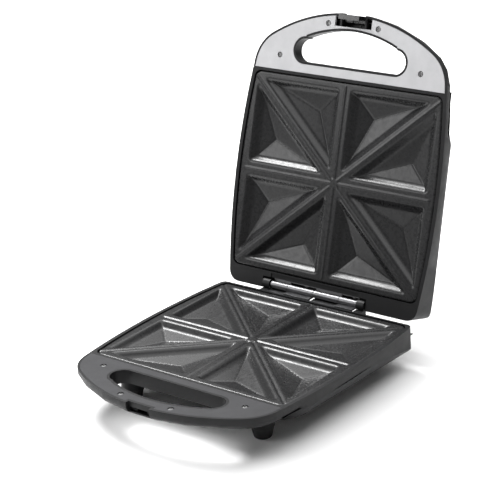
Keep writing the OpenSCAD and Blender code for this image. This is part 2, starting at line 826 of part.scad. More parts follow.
// Flat straps under the element, one on each post
module element_straps() {
    reach = 9 + element_d / 2 + 1.5;
    back = 6;
    translate([0, 0, -strap_drop - strap_thick - 0.05]) difference() {
        union() {
            both_sides() translate([strap_posts[1][0] - back, -6, 0]) cube([reach + back, 12, strap_thick]);
            translate([-6, strap_posts[2][1] - reach, 0]) cube([12, reach + back, strap_thick]);
            translate([-leg_x - 17, strap_posts[3][1] - back, 0])
                cube([2 * (leg_x + 17), reach + back, strap_thick]);
        }
        for (p = strap_posts) translate([p[0], p[1], -1]) cylinder(r = screw_r + 0.2, h = 5);
    }
}

module lower_element_straps() {
    color(steel) in_base() element_straps();
}

module upper_element_straps() {
    color(steel) in_lid() element_straps();
}

// Screws that hold the straps to the plate's posts
module strap_screws() {
    for (p = strap_posts) translate([p[0], p[1], -strap_drop - strap_thick - 0.05]) mirror([0, 0, 1])
        pan_screw(7);
}

module lower_strap_screws() {
    color(steel) in_base() strap_screws();
}

module upper_strap_screws() {
    color(steel) in_lid() strap_screws();
}

// A shallow tray that throws the heat back at the plate
module reflector() {
    rim = 5;
    translate([0, 0, -reflector_drop - reflector_thick]) difference() {
        translate([-reflector_x, -reflector_y, 0])
            cube([2 * reflector_x, 2 * reflector_y, rim + reflector_thick]);
        translate([reflector_thick - reflector_x, reflector_thick - reflector_y, reflector_thick])
            cube([2 * (reflector_x - reflector_thick), 2 * (reflector_y - reflector_thick), 20]);
        for (p = reflector_posts) translate([p[0], p[1], -1]) cylinder(r = screw_r + 0.2, h = 5);
        translate([-leg_x - 8, reflector_y - 2, reflector_thick]) cube([2 * leg_x + 16, 5, 20]);
    }
}

module lower_reflector() {
    color(steel) in_base() reflector();
}

module upper_reflector() {
    color(steel) in_lid() reflector();
}

module reflector_screws(shank) {
    for (p = reflector_posts) translate([p[0], p[1], -reflector_drop]) pan_screw(shank);
}

// Length of the reflector screws in a half of the given depth
function tray_shank(depth, rear, slope) =
    min(floor_depth(depth, rear, slope, reflector_posts[0][1]) - plate_recess - reflector_drop - 2.6, 6);

module lower_reflector_screws() {
    color(steel) in_base() reflector_screws(tray_shank(part_height - foot_height, rear_wall, base_slope));
}

module upper_reflector_screws() {
    color(steel) in_lid() reflector_screws(tray_shank(lid_height, lobe_y, lid_slope));
}

// A disc thermostat pressed to the plate under the ridge x = 0
module thermostat() {
    color(black) in_base() translate([0, -28, -plate_wall - 8.1]) {
        cylinder(r = 6, h = 8);
        translate([-5, -5, -4]) cube([10, 10, 4.5]);
        both_sides() translate([3, -0.4, -9]) cube([1.2, 4, 6]);
    }
}

// A fuse in its sleeve, clipped under the ridge y = 0
module thermal_fuse() {
    color(light_grey) in_base() translate([-50, 0, -plate_wall - 3.2]) rotate([0, 90, 0]) {
        cylinder(r = 3, h = 24, center = true);
        cylinder(r = 1, h = 32, center = true);
    }
}

// A three-way terminal block on its shelf behind the reflector
module terminal_block() {
    way = 9;
    color(black) translate([block_x, block_y, block_z]) difference() {
        cube([3 * way, 9.5, 12.4]);
        for (i = [0:2]) translate([(i + 0.5) * way, 4.8, 0]) {
            translate([0, 0, 8]) cylinder(r = 2, h = 10);
            translate([0, 0, 5]) rotate([90, 0, 0]) cylinder(r = 1.8, h = 20, center = true);
        }
    }
}

// A smooth line through the given points, n steps from each to the next
function smooth_line(p, n) = concat(
    [for (i = [0:len(p) - 2]) for (k = [0:n - 1])
        curve_point(p[max(i - 1, 0)], p[i], p[i + 1], p[min(i + 2, len(p) - 1)], k / n)],
    [p[len(p) - 1]]);
function curve_point(a, b, c, d, t) =
    0.5 * (2 * b + (c - a) * t + (2 * a - 5 * b + 4 * c - d) * t * t + (3 * b - a - 3 * c + d) * t * t * t);

// Directions along a line, and a side direction carried along it without twist
function headings(p) = [for (i = [0:len(p) - 1]) unit(p[min(i + 1, len(p) - 1)] - p[max(i - 1, 0)])];
function sides(t, start) = [
    for (i = 0, u = unit(start - (start * t[0]) * t[0]); i < len(t); i = i + 1,
         u = i < len(t) ? unit(u - (u * t[i]) * t[i]) : u) u
];

// A round bar of six sides along a line of points
module bar_along(p, r, start = [0.3, 0.2, 1]) {
    n = 6;
    t = headings(p);
    u = sides(t, start);
    points = [for (i = [0:len(p) - 1]) for (k = [0:n - 1])
        p[i] + r * (cos(360 * k / n) * u[i] + sin(360 * k / n) * cross(t[i], u[i]))];
    walls = [for (i = [0:len(p) - 2]) for (k = [0:n - 1]) let (a = i * n + k, b = i * n + (k + 1) % n)
        for (f = [[a, a + n, b + n], [a, b + n, b]]) f];
    last = (len(p) - 1) * n;
    polyhedron(points, concat(walls, [[for (k = [0:n - 1]) k]], [[for (k = [n - 1:-1:0]) last + k]]));
}

lead_r = 1.3;
lead_tip = leg_tip - 0.1;

// Leads from the element to the terminal block
module lower_leads() {
    z = lower_rim - element_drop;
    low = block_z + 5;
    end = block_x - 0.3;
    color("firebrick") {
        bar_along(smooth_line([[leg_x, lead_tip, z], [leg_x + 1.5, lead_tip + 1.2, z - 0.4],
            [leg_x + 8, lead_tip + 0.6, low + 0.6], [end - 6, lead_tip - 0.6, low],
            [end, lead_tip - 0.6, low]], 6), lead_r);
        bar_along(smooth_line([[-leg_x, lead_tip, z], [-leg_x + 1, lead_tip + 1.4, z - 1],
            [-leg_x + 7, lead_tip + 1, low - 3], [0, lead_tip + 0.4, low - 3.6],
            [end - 9, lead_tip, low - 3.6], [end, lead_tip - 0.6, low - 3.6]], 6), lead_r);
    }
}

// Leads from the element into the lid's rear lobes
module upper_leads() {
    z = upper_rim + element_drop;
    high = bay_roof + shell_wall + lead_r + 0.7;
    reach = half_w - 22;
    color("firebrick") open_lid() for (side = [-1, 1])
        bar_along(smooth_line([[side * leg_x, lead_tip, z], [side * (leg_x + 1), lead_tip + 1.6, z + 0.6],
            [side * (leg_x + 8), lead_tip + 4, high + 1.5],
            [side * (reach - 34), lead_tip + 9, high + 1.5],
            [side * (reach - 8), lead_tip + 12, high - 3],
            [side * reach, lead_tip + 13, high - 8]], 6), lead_r);
}

// The rubber gland where the supply cord goes in
module cord_gland() {
    inner = -gland_wall - 0.1;
    color(black) translate([gland_x, rear_wall, gland_z]) rotate([-90, 0, 0]) difference() {
        union() {
            translate([0, 0, inner]) cylinder(r = gland_r - 0.1, h = 0.2 - inner);
            translate([0, 0, 0.1]) cylinder(r = gland_r + 2, h = 2);
            translate([0, 0, 2]) cylinder(r1 = gland_r + 1, r2 = gland_r - 0.4, h = 4);
            translate([0, 0, inner - 1.4]) cylinder(r = gland_r + 1.2, h = 1.4);
        }
        cylinder(r = gland_bore, h = 60, center = true);
    }
}

// A tapered rubber foot with a rounded tip, standing on the table
module foot(p) {
    tip = 3;
    low = foot_r * 0.78;
    color(black) translate([p[0], p[1], 0]) difference() {
        rotate_extrude() {
            polygon([[0, 0], [low - tip, 0], [low - tip, tip], [low, tip], [foot_r - 0.3, foot_height - 0.05],
                     [0, foot_height - 0.05]]);
            intersection() {
                translate([low - tip, tip]) circle(r = tip);
                translate([0, 0]) square([foot_r, foot_height]);
            }
        }
        translate([0, 0, -1]) cylinder(r = head_r + 0.4, h = foot_height - 3);
        cylinder(r = screw_r + 0.2, h = 40);
    }
}

module foot_screws() {
    color(steel) for (p = feet) translate([p[0], p[1], foot_height - 4.05]) mirror([0, 0, 1])
        pan_screw(8);
}

// One knuckle on the hinge line
module knuckle(x, length) {
    translate([x, hinge_y, hinge_z]) rotate([0, 90, 0]) cylinder(r = knuckle_r, h = length);
}

module knuckle_bore() {
    translate([0, hinge_y, hinge_z]) rotate([0, 90, 0])
        cylinder(r = hinge_pin_r + pin_clearance, h = 400, center = true);
}

// The base's leaf: two knuckles, a plate down the rear wall and the fingers that stop the lid
module hinge_leaf_lower() {
    face = rear_wall + 0.1;
    start = hinge_mid - hinge_length / 2;
    tongue_z = hinge_z - knuckle_r;
    color(steel) {
        difference() {
            union() {
                for (k = [[knuckle_2, long_knuckle], [knuckle_4, short_knuckle]]) {
                    knuckle(k[0], k[1]);
                    translate([k[0], face, tongue_z]) cube([k[1], hinge_y - face, leaf_thick]);
                }
                translate([start, face, lower_leaf_bottom])
                    cube([hinge_length, leaf_thick, tongue_z - lower_leaf_bottom + leaf_thick * 0.4]);
                stop_finger(knuckle_1 + short_knuckle / 2);
                stop_finger(knuckle_3 + long_knuckle / 2);
            }
            knuckle_bore();
            for (x = leaf_screws) translate([x, face, leaf_screw_z]) rotate([90, 0, 0])
                cylinder(r = screw_r + 0.2, h = 20, center = true);
        }
    }
}

// A bent finger behind a lid knuckle that its tongue leans on when open
module stop_finger(x) {
    width = 12;
    under = hinge_z - knuckle_r - moving_gap - leaf_thick;
    lean = hinge_z + knuckle_r + 0.15;
    translate([x - width / 2, rear_wall + 0.1, under]) cube([width, hinge_y - rear_wall + 4.4, leaf_thick]);
    open_lid() translate([x - width / 2, hinge_y - knuckle_r - 0.8, lean]) cube([width, 8.6, leaf_thick]);
}

module hinge_screws_lower() {
    color(steel) for (x = leaf_screws) translate([x, rear_wall + 0.15 + leaf_thick, leaf_screw_z])
        rotate([-90, 0, 0]) pan_screw(8);
}

// The lid's leaf: two knuckles and a plate up the bay's wall
module hinge_leaf_upper() {
    face = bay_y + 0.1;
    start = hinge_mid - hinge_length / 2;
    tongue_z = hinge_z + knuckle_r - leaf_thick;
    color(steel) open_lid() difference() {
        union() {
            for (k = [[knuckle_1, short_knuckle], [knuckle_3, long_knuckle]]) {
                knuckle(k[0], k[1]);
                translate([k[0], face, tongue_z]) cube([k[1], hinge_y - face, leaf_thick]);
            }
            translate([start, face, tongue_z]) cube([hinge_length, leaf_thick, upper_leaf_top - tongue_z]);
        }
        knuckle_bore();
        for (x = leaf_screws) translate([x, face, upper_screw_z]) rotate([90, 0, 0])
            cylinder(r = screw_r + 0.2, h = 20, center = true);
    }
}

module hinge_screws_upper() {
    color(steel) open_lid() for (x = leaf_screws)
        translate([x, bay_y + 0.15 + leaf_thick, upper_screw_z]) rotate([-90, 0, 0]) pan_screw(6, 2.6);
}

module hinge_pin() {
    reach = hinge_length / 2 + ear_gap + ear_width;
    color(steel) translate([hinge_mid - reach, hinge_y, hinge_z]) rotate([0, 90, 0]) {
        cylinder(r = hinge_pin_r, h = 2 * reach);
        translate([0, 0, -1.2]) cylinder(r = hinge_pin_r + 1, h = 1.2);
    }
}

module lid_shell() {
    color(charcoal) open_lid() difference() {
        union() {
            translate([0, 0, lid_edge]) mirror([0, 0, 1])
                half_shell(lid_height, lid_band, lid_shoulder, lobe_y, lobe_corner_r, lid_slope,
                           lid_turn_r, window_rear);
            bay_walls();
            tab_brackets();
            for (side = [-1, 1]) translate([side * lamp_post_x, lens_y, holder_z + 1.65])
                cylinder(r = boss_r, h = lens_top - holder_z - 2.65);
        }
        bay_cut();
        translate([hinge_mid - hinge_length / 2 - 1.5, rear_wall - 0.5, lid_edge - 5])
            cube([hinge_length + 3, bay_y - rear_wall + 1.5, tongue_top + 5.4 - lid_edge]);
        translate([-notch_half, front_y - 5, lid_edge - 1])
            cube([2 * notch_half, latch_pin_y - 2 - front_y + 5, lid_band + 5]);
        translate([-notch_half, latch_pin_y - 3, lid_edge - 1])
            cube([2 * notch_half, window_rear - latch_pin_y + 3, latch_roof - lid_edge + 1]);
        translate([0, 0, lid_edge - 1]) linear_extrude(cover_thick + 1.05) difference() {
            translate([-notch_half - 6, window_rear]) square([2 * notch_half + 12, 6]);
            slot_plan(grip_wall);
        }
        translate([0, latch_pin_y, latch_pin_z]) rotate([0, 90, 0])
            cylinder(r = latch_pin_r + pin_clearance, h = 2 * (notch_half + grip_wall) + 4, center = true);
        for (x = leaf_screws) translate([x, bay_y + 1, upper_screw_z])
            rotate([90, 0, 0]) cylinder(r = pilot_r, h = 10);
        for (side = [-1, 1]) {
            translate([side * lens_x, lens_y, lens_top - 10]) cylinder(r = lens_r, h = 20);
            translate([side * lamp_post_x, lens_y, lens_top - 10]) cylinder(r = pilot_r, h = 8);
            translate([side * tab_x - tab_width / 2 - 0.5, rear_wall - shell_wall - 1,
                       lid_edge + plate_recess + tab_low - tab_thick - 0.7])
                cube([tab_width + 1, 2.6, tab_thick + 0.8]);
        }
    }
}

// The space in the lid's rear that the hinge lies in
module bay_cut() {
    translate([hinge_mid - bay_half, bay_y, lid_edge - 5])
        cube([2 * bay_half, 100, bay_roof - lid_edge + 5]);
}

// Walls between the hinge bay and the lid's inside
module bay_walls() {
    low = lid_edge + 1.4;
    translate([hinge_mid - bay_half - shell_wall, bay_y - shell_wall, low])
        cube([2 * (bay_half + shell_wall), lobe_y - 1.2 - bay_y + shell_wall, bay_roof + shell_wall - low]);
}

// Brackets behind the plate that hold its rear tabs
module tab_brackets() {
    for (side = [-1, 1])
        translate([side * tab_x - tab_width / 2 - 3, rear_wall - shell_wall + 0.2, lid_edge + 1])
            cube([tab_width + 6, 3.8, plate_recess + skirt_depth + 2]);
}

module lid_handle_cover() {
    color(light_grey) open_lid() translate([0, 0, lid_edge]) mirror([0, 0, 1]) handle_cover()
        translate([-window_half, front_y - 1, -20]) cube([2 * window_half, window_rear - front_y + 1, 40]);
}

module lid_cover_screws() {
    color(steel) open_lid() translate([0, 0, lid_edge]) mirror([0, 0, 1]) sunk_screws(lid_band);
}

// The latch: a barrel on its pin, an arm down the front and a hook
module latch() {
    barrel_r = latch_pin_r + 1.7;
    spring_room = spring_turns * spring_pitch + 2.4;
    color(black) open_lid() difference() {
        union() {
            translate([0, latch_pin_y, latch_pin_z]) rotate([0, 90, 0])
                cylinder(r = barrel_r, h = latch_width, center = true);
            translate([-latch_width / 2, arm_out, latch_pin_z - barrel_r])
                cube([latch_width, latch_pin_y - arm_out, 2 * barrel_r]);
            translate([-latch_width / 2, arm_out, hook_bottom])
                cube([latch_width, latch_arm, latch_pin_z - hook_bottom]);
            translate([-latch_width / 2, arm_out, hook_bottom])
                cube([latch_width, latch_arm + hook_bite + moving_gap + 0.1, hook_thick]);
        }
        translate([0, latch_pin_y, latch_pin_z]) rotate([0, 90, 0])
            cylinder(r = latch_pin_r + pin_clearance, h = latch_width + 2, center = true);
        translate([-spring_room / 2, arm_in, latch_pin_z - 5]) cube([spring_room, 12, 10]);
    }
}

module latch_pin() {
    reach = notch_half + grip_wall + 1.4;
    color(steel) open_lid() translate([-reach, latch_pin_y, latch_pin_z]) rotate([0, 90, 0])
        cylinder(r = latch_pin_r, h = 2 * reach);
}

// A wound spring on the latch pin that turns the latch back into its catch
wire_r = 0.3;
spring_r = latch_pin_r + wire_r + 0.4;
spring_pitch = 1.1;
spring_turns = 4;
echo(latch_spring_self_gap = spring_pitch - 2 * wire_r);
module latch_spring() {
    wound = 360 * spring_turns + 90;
    half = spring_pitch * wound / 720;
    coil = [for (a = [0:45:wound]) [spring_pitch * a / 360 - half, -spring_r * cos(a), spring_r * sin(a)]];
    front_leg = [[-half, arm_in - latch_pin_y + wire_r + 0.35, -7], [-half, -spring_r - 0.1, -3]];
    rear_leg = [[half, 1.5, spring_r + 0.1], [half, window_rear - latch_pin_y - 0.8, spring_r + 0.5]];
    color(steel) open_lid() translate([0, latch_pin_y, latch_pin_z])
        bar_along(concat(front_leg, coil, rear_leg), wire_r, [1, 0.1, 0.2]);
}

// A flanged lens in the lid's top
module lens(x) {
    open_lid() translate([x, lens_y, lens_top]) {
        translate([0, 0, -shell_wall - 0.6]) cylinder(r = lens_r - 0.1, h = shell_wall + 1);
        translate([0, 0, -shell_wall - 1.2]) cylinder(r = lens_r + 1.2, h = 0.8);
    }
}

module power_lens() {
    color([0.8, 0.1, 0.05]) lens(-lens_x);
}

module ready_lens() {
    color([0.1, 0.6, 0.15]) lens(lens_x);
}

module indicator_lamps() {
    color([0.9, 0.85, 0.7]) open_lid() both_sides() translate([lens_x, lens_y, holder_z + 1.65]) {
        cylinder(r = 2, h = 0.8);
        translate([0, 0, 0.6]) sphere(r = 1.1);
    }
}

module lamp_holder() {
    color(light_grey) open_lid() translate([-lamp_post_x - 4, lens_y - 6, holder_z]) difference() {
        cube([2 * lamp_post_x + 8, 12, 1.6]);
        both_sides_at(lamp_post_x + 4, lamp_post_x) cylinder(r = screw_r + 0.2, h = 10, center = true);
        both_sides_at(lamp_post_x + 4, lens_x) cylinder(r = 1, h = 10, center = true);
    }
}

// Two copies at equal distances from x = middle, halfway along the holder
module both_sides_at(middle, reach) {
    for (side = [-1, 1]) translate([middle + side * reach, 6, 0]) children();
}

base_shell();
base_handle();
base_handle_cover();
base_cover_screws();
lower_plate();
lower_plate_screws();
lower_heating_element();
lower_element_straps();
lower_strap_screws();
lower_reflector();
lower_reflector_screws();
thermostat();
thermal_fuse();
terminal_block();
lower_leads();
cord_gland();
foot(feet[0]);  // foot_front_left
foot(feet[1]);  // foot_front_right
foot(feet[2]);  // foot_rear_left
foot(feet[3]);  // foot_rear_right
foot_screws();
hinge_leaf_lower();
hinge_screws_lower();
hinge_pin();
lid_shell();
lid_handle_cover();
lid_cover_screws();
upper_plate();
upper_plate_screws();
upper_heating_element();
upper_element_straps();
upper_strap_screws();
upper_reflector();
upper_reflector_screws();
upper_leads();
hinge_leaf_upper();
hinge_screws_upper();
power_lens();
ready_lens();
indicator_lamps();
lamp_holder();
latch();
latch_pin();
latch_spring();
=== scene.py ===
"""Sandwich toaster standing open: materials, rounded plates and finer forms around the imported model.

Points and sizes are in metres in the model's own frame: +Z up, -Y towards the handle. Shapes that
are worked out in millimetres say so and are scaled by MM when they become a mesh.
"""

import json
import math

import bmesh
import bpy
import numpy as np
from mathutils import Matrix, Vector

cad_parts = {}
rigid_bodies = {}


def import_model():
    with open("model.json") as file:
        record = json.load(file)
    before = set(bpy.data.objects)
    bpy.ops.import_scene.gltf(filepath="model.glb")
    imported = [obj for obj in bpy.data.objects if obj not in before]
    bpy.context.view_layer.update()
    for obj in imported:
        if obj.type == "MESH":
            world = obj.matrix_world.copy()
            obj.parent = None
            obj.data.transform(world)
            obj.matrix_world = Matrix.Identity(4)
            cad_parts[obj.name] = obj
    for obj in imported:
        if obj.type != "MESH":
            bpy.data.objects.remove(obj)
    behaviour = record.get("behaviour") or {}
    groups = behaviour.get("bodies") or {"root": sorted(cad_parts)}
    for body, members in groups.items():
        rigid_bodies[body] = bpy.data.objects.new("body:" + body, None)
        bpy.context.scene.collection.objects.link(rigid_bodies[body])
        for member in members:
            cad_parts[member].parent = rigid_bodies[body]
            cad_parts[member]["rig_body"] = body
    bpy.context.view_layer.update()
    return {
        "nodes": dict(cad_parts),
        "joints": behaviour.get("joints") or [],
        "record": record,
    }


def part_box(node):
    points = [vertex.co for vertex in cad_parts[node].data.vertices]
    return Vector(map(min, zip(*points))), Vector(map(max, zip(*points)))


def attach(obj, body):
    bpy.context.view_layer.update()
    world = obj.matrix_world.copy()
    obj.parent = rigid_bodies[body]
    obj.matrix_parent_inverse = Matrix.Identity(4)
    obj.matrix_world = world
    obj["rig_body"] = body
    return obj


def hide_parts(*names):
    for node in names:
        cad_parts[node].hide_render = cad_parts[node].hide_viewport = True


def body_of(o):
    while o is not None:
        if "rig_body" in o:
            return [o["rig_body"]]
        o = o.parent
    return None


MM = 0.001

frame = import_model()
nodes = frame["nodes"]
joints = {j["name"]: j for j in frame["joints"]}
scene = bpy.context.scene

# Places taken from the frame
hinge = joints["lid_hinge"]
HINGE_Y, HINGE_Z = (v / MM for v in hinge["pos_m"][1:])
OPEN_ANGLE = hinge["range_deg"][1]
LOWER_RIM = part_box("lower_plate")[1][2] / MM
SHUT_MIDDLE = 46.3  # height between the shells when the lid is shut
UPPER_RIM = 2 * SHUT_MIDDLE - LOWER_RIM

# Turns a point of the shut lid, in metres, to where it is with the lid open
PIVOT = Vector((0, HINGE_Y, HINGE_Z)) * MM
OPEN = (
    Matrix.Translation(PIVOT)
    @ Matrix.Rotation(math.radians(-OPEN_ANGLE), 4, "X")
    @ Matrix.Translation(-PIVOT)
)
# Plate drawings are face up with the rim at z = 0. These put one into the base or into the lid.
IN_BASE = Matrix.Translation((0, 0, LOWER_RIM * MM))
IN_LID = OPEN @ Matrix.Translation((0, 0, UPPER_RIM * MM)) @ Matrix.Diagonal((1, 1, -1, 1))

# Camera
# Direction of the camera from its target and its roll, in degrees, fitted to the photograph
AZIMUTH, ELEVATION, ROLL = 38.9, 21.1, -3.53
DISTANCE = 1.694
TARGET = Vector((0.003, 0.002, 0.140))
SENSOR = 36.0
FOCAL_PIXELS, FRAME_PIXELS = 1751.0, 500.0


def add_camera():
    a, e, roll = (math.radians(v) for v in (AZIMUTH, ELEVATION, ROLL))
    back = Vector((math.sin(a) * math.cos(e), -math.cos(a) * math.cos(e), math.sin(e)))
    right = Vector((math.cos(a), math.sin(a), 0))
    up = back.cross(right)
    side = math.cos(roll) * right + math.sin(roll) * up
    top = math.cos(roll) * up - math.sin(roll) * right
    data = bpy.data.cameras.new("view")
    data.sensor_width = SENSOR
    data.lens = FOCAL_PIXELS / FRAME_PIXELS * SENSOR
    data.clip_start, data.clip_end = 0.05, 60
    cam = bpy.data.objects.new("view", data)
    scene.collection.objects.link(cam)
    place = Matrix((side, top, back)).transposed().to_4x4()
    place.translation = TARGET + back * DISTANCE
    cam.matrix_world = place
    scene.camera = cam


add_camera()


# Materials
class Surface:
    """A node material that is built up step by step."""

    def __init__(self, name, **sockets):
        self.material = bpy.data.materials.new(name)
        self.material.use_nodes = True
        self.tree = self.material.node_tree
        self.bsdf = self.tree.nodes["Principled BSDF"]
        self.place = self.node("ShaderNodeTexCoord").outputs["Object"]
        for socket, value in sockets.items():
            self.bsdf.inputs[socket.replace("_", " ")].default_value = value

    def node(self, kind, **settings):
        made = self.tree.nodes.new(kind)
        for key, value in settings.items():
            if hasattr(made, key):
                setattr(made, key, value)
            else:
                made.inputs[key].default_value = value
        return made

    def link(self, a, b):
        self.tree.links.new(a, b)

    def scaled(self, stretch):
        """The object's coordinates, stretched along the axes."""
        mapping = self.node("ShaderNodeMapping")
        mapping.inputs["Scale"].default_value = stretch
        self.link(self.place, mapping.inputs["Vector"])
        return mapping.outputs["Vector"]

    def noise(self, scale, detail=3.0, rough=0.5, stretch=None, seed=0.0):
        made = self.node("ShaderNodeTexNoise", noise_dimensions="4D")
        made.inputs["Scale"].default_value = scale
        made.inputs["Detail"].default_value = detail
        made.inputs["Roughness"].default_value = rough
        made.inputs["W"].default_value = seed
        self.link(self.scaled(stretch) if stretch else self.place, made.inputs["Vector"])
        return made.outputs["Fac"]

    def ramp(self, value, low, high, start=0.3, end=0.7):
        """value, from start to end, becomes a number or a colour from low to high."""
        if isinstance(low, (tuple, list)):
            made = self.node("ShaderNodeValToRGB")
            stops = made.color_ramp.elements
            stops[0].position, stops[1].position = start, end
            stops[0].color, stops[1].color = (*low, 1), (*high, 1)
            self.link(value, made.inputs["Fac"])
            return made.outputs["Color"]
        made = self.node("ShaderNodeMapRange")
        for key, number in zip(("From Min", "From Max", "To Min", "To Max"), (start, end, low, high)):
            made.inputs[key].default_value = number
        self.link(value, made.inputs["Value"])
        return made.outputs["Result"]

    def colour(self, value, low, high, start=0.3, end=0.7):
        self.link(self.ramp(value, low, high, start, end), self.bsdf.inputs["Base Color"])
        return self

    def roughness(self, value, low, high, start=0.3, end=0.7):
        self.link(self.ramp(value, low, high, start, end), self.bsdf.inputs["Roughness"])
        return self

    def bump(self, value, depth, strength=1.0):
        """Adds relief of the given depth in metres. Later calls go on top of earlier ones."""
        made = self.node("ShaderNodeBump")
        made.inputs["Distance"].default_value = depth
        made.inputs["Strength"].default_value = strength
        normal = self.bsdf.inputs["Normal"]
        if normal.is_linked:
            self.link(normal.links[0].from_socket, made.inputs["Normal"])
        self.link(value, made.inputs["Height"])
        self.link(made.outputs["Normal"], normal)
        return self


def moulded(name, tone, rough, grain=0.00002, spread=0.12, shine=0.4):
    """Injection-moulded plastic with a fine spark-eroded grain and a slightly uneven sheen."""
    s = Surface(name, Specular_IOR_Level=shine)
    low = tuple(c * (1 - spread) for c in tone)
    high = tuple(min(1, c * (1 + spread)) for c in tone)
    s.colour(s.noise(55, 4, 0.6), low, high)
    s.roughness(s.noise(130, 5, 0.65, seed=3), rough - 0.05, rough + 0.06)
    s.bump(s.noise(1900, 2, 0.6, seed=7), grain, 0.5)
    s.bump(s.noise(26, 2, 0.5, seed=11), 0.0004, 0.06)
    return s.material


def coated(name, tone, rough):
    """Cast metal under a thin non-stick coating: fine speckle, soft flow marks, semi-gloss."""
    s = Surface(name, Specular_IOR_Level=0.30)
    s.colour(s.noise(900, 6, 0.7), tuple(c * 0.85 for c in tone), tuple(c * 1.15 for c in tone), 0.35, 0.65)
    s.roughness(s.noise(210, 5, 0.6, seed=2), rough - 0.05, rough + 0.07)
    s.bump(s.noise(1500, 3, 0.6, seed=5), 0.00002, 0.5)
    s.bump(s.noise(60, 3, 0.5, seed=9), 0.0003, 0.10)
    return s.material


def metal(name, tone, rough, stretch=(1, 1, 1), streak=0.08, scale=900):
    """Plated or drawn steel with streaks along its rolling direction."""
    s = Surface(name, Metallic=1.0)
    s.colour(s.noise(scale, 4, 0.6, stretch), tuple(c * (1 - streak) for c in tone), tone)
    s.roughness(s.noise(scale * 0.7, 5, 0.7, stretch, seed=4), rough - 0.06, rough + 0.1)
    s.bump(s.noise(scale * 1.5, 3, 0.6, stretch, seed=6), 0.00002, 0.35)
    return s.material


def rubber(name, tone):
    s = Surface(name, Specular_IOR_Level=0.3)
    s.colour(s.noise(70, 4, 0.6), tuple(c * 0.8 for c in tone), tuple(c * 1.3 for c in tone))
    s.roughness(s.noise(160, 5, 0.6, seed=3), 0.58, 0.78)
    s.bump(s.noise(1200, 3, 0.6, seed=8), 0.00004, 0.5)
    return s.material


def clear(name, tone, tint):
    """Coloured clear plastic over a bright core, as on a pilot light."""
    s = Surface(name, Specular_IOR_Level=0.6, Transmission_Weight=0.55, IOR=1.49)
    s.colour(s.noise(240, 3, 0.5), tone, tint)
    s.roughness(s.noise(300, 3, 0.5, seed=2), 0.05, 0.14)
    s.bump(s.noise(500, 2, 0.5, seed=5), 0.00003, 0.2)
    return s.material


def woven(name, tone):
    """A braided sleeve: two sets of threads that cross."""
    s = Surface(name, Specular_IOR_Level=0.25)
    waves = [
        s.node("ShaderNodeTexWave", wave_type="BANDS", bands_direction=way) for way in ("X", "Z")
    ]
    for wave in waves:
        wave.inputs["Scale"].default_value = 700
        s.link(s.place, wave.inputs["Vector"])
    both = s.node("ShaderNodeMath", operation="MULTIPLY")
    s.link(waves[0].outputs["Fac"], both.inputs[0])
    s.link(waves[1].outputs["Fac"], both.inputs[1])
    s.colour(both.outputs[0], tuple(c * 0.6 for c in tone), tone, 0.1, 0.8)
    s.roughness(s.noise(300, 3), 0.65, 0.85)
    s.bump(both.outputs[0], 0.0001, 0.7)
    return s.material


LOOKS = {
    "shell_plastic": moulded("shell_plastic", (0.011, 0.011, 0.0115), 0.44, shine=0.16),
    "dark_cover_plastic": moulded("dark_cover_plastic", (0.034, 0.034, 0.036), 0.48, shine=0.14),
    "light_cover_plastic": moulded(
        "light_cover_plastic", (0.43, 0.43, 0.44), 0.42, 0.00002, 0.07, 0.35
    ),
    "plate_coating": coated("plate_coating", (0.014, 0.014, 0.0145), 0.27),
    "element_steel": metal("element_steel", (0.36, 0.33, 0.31), 0.5),
    "zinc_steel": metal("zinc_steel", (0.20, 0.20, 0.20), 0.42),
    "hinge_steel": metal("hinge_steel", (0.15, 0.15, 0.155), 0.36, (0.12, 1, 1), 0.2, 1400),
    "sheet_steel": metal("sheet_steel", (0.60, 0.60, 0.61), 0.36, (0.1, 1, 1)),
    "control_plastic": moulded("control_plastic", (0.045, 0.042, 0.04), 0.6, 0.00003),
    "sleeve": woven("sleeve", (0.70, 0.67, 0.60)),
    "lead_insulation": rubber("lead_insulation", (0.34, 0.03, 0.02)),
    "foot_rubber": rubber("foot_rubber", (0.013, 0.013, 0.013)),
    "red_lens": clear("red_lens", (0.55, 0.02, 0.01), (0.75, 0.05, 0.03)),
    "green_lens": clear("green_lens", (0.03, 0.40, 0.06), (0.08, 0.60, 0.14)),
    "lamp_glass": clear("lamp_glass", (0.80, 0.76, 0.66), (0.95, 0.92, 0.85)),
    "holder_plastic": moulded("holder_plastic", (0.55, 0.54, 0.50), 0.5, 0.00002, 0.04),
    "latch_plastic": moulded("latch_plastic", (0.007, 0.007, 0.0075), 0.26, 0.00001, 0.1, 0.5),
}
SLOT_OF = {row["node"]: row["material_slot"] for row in frame["record"]["subparts"]}


def dress(obj, slot):
    """Gives an object the one material of a slot of the record."""
    obj.data.materials.clear()
    obj.data.materials.append(LOOKS[slot])


for name, node in nodes.items():
    dress(node, SLOT_OF[name])


# Making pieces
def add_piece(name, mesh, body, slot, replaced=()):
    """A new piece that rides on a body and stands for the given CAD nodes."""
    obj = bpy.data.objects.new(name, mesh)
    scene.collection.objects.link(obj)
    dress(obj, slot)
    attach(obj, body)
    if replaced:
        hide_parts(*replaced)
    return obj


def smooth_by_angle(mesh, degrees):
    mesh.shade_smooth()
    mesh.set_sharp_from_angle(angle=math.radians(degrees))


WELD = 0.004 * MM  # points nearer than this are one
SLIVER = 0.003 * MM  # edges shorter than this are closed up
FLAT_ANGLE = math.radians(0.3)  # faces that turn by less are one flat
FLAT_WEIGHT = 90  # how far large faces rule the shading beside them
CURVE_ANGLE = 26  # degrees, between the facets of a curve


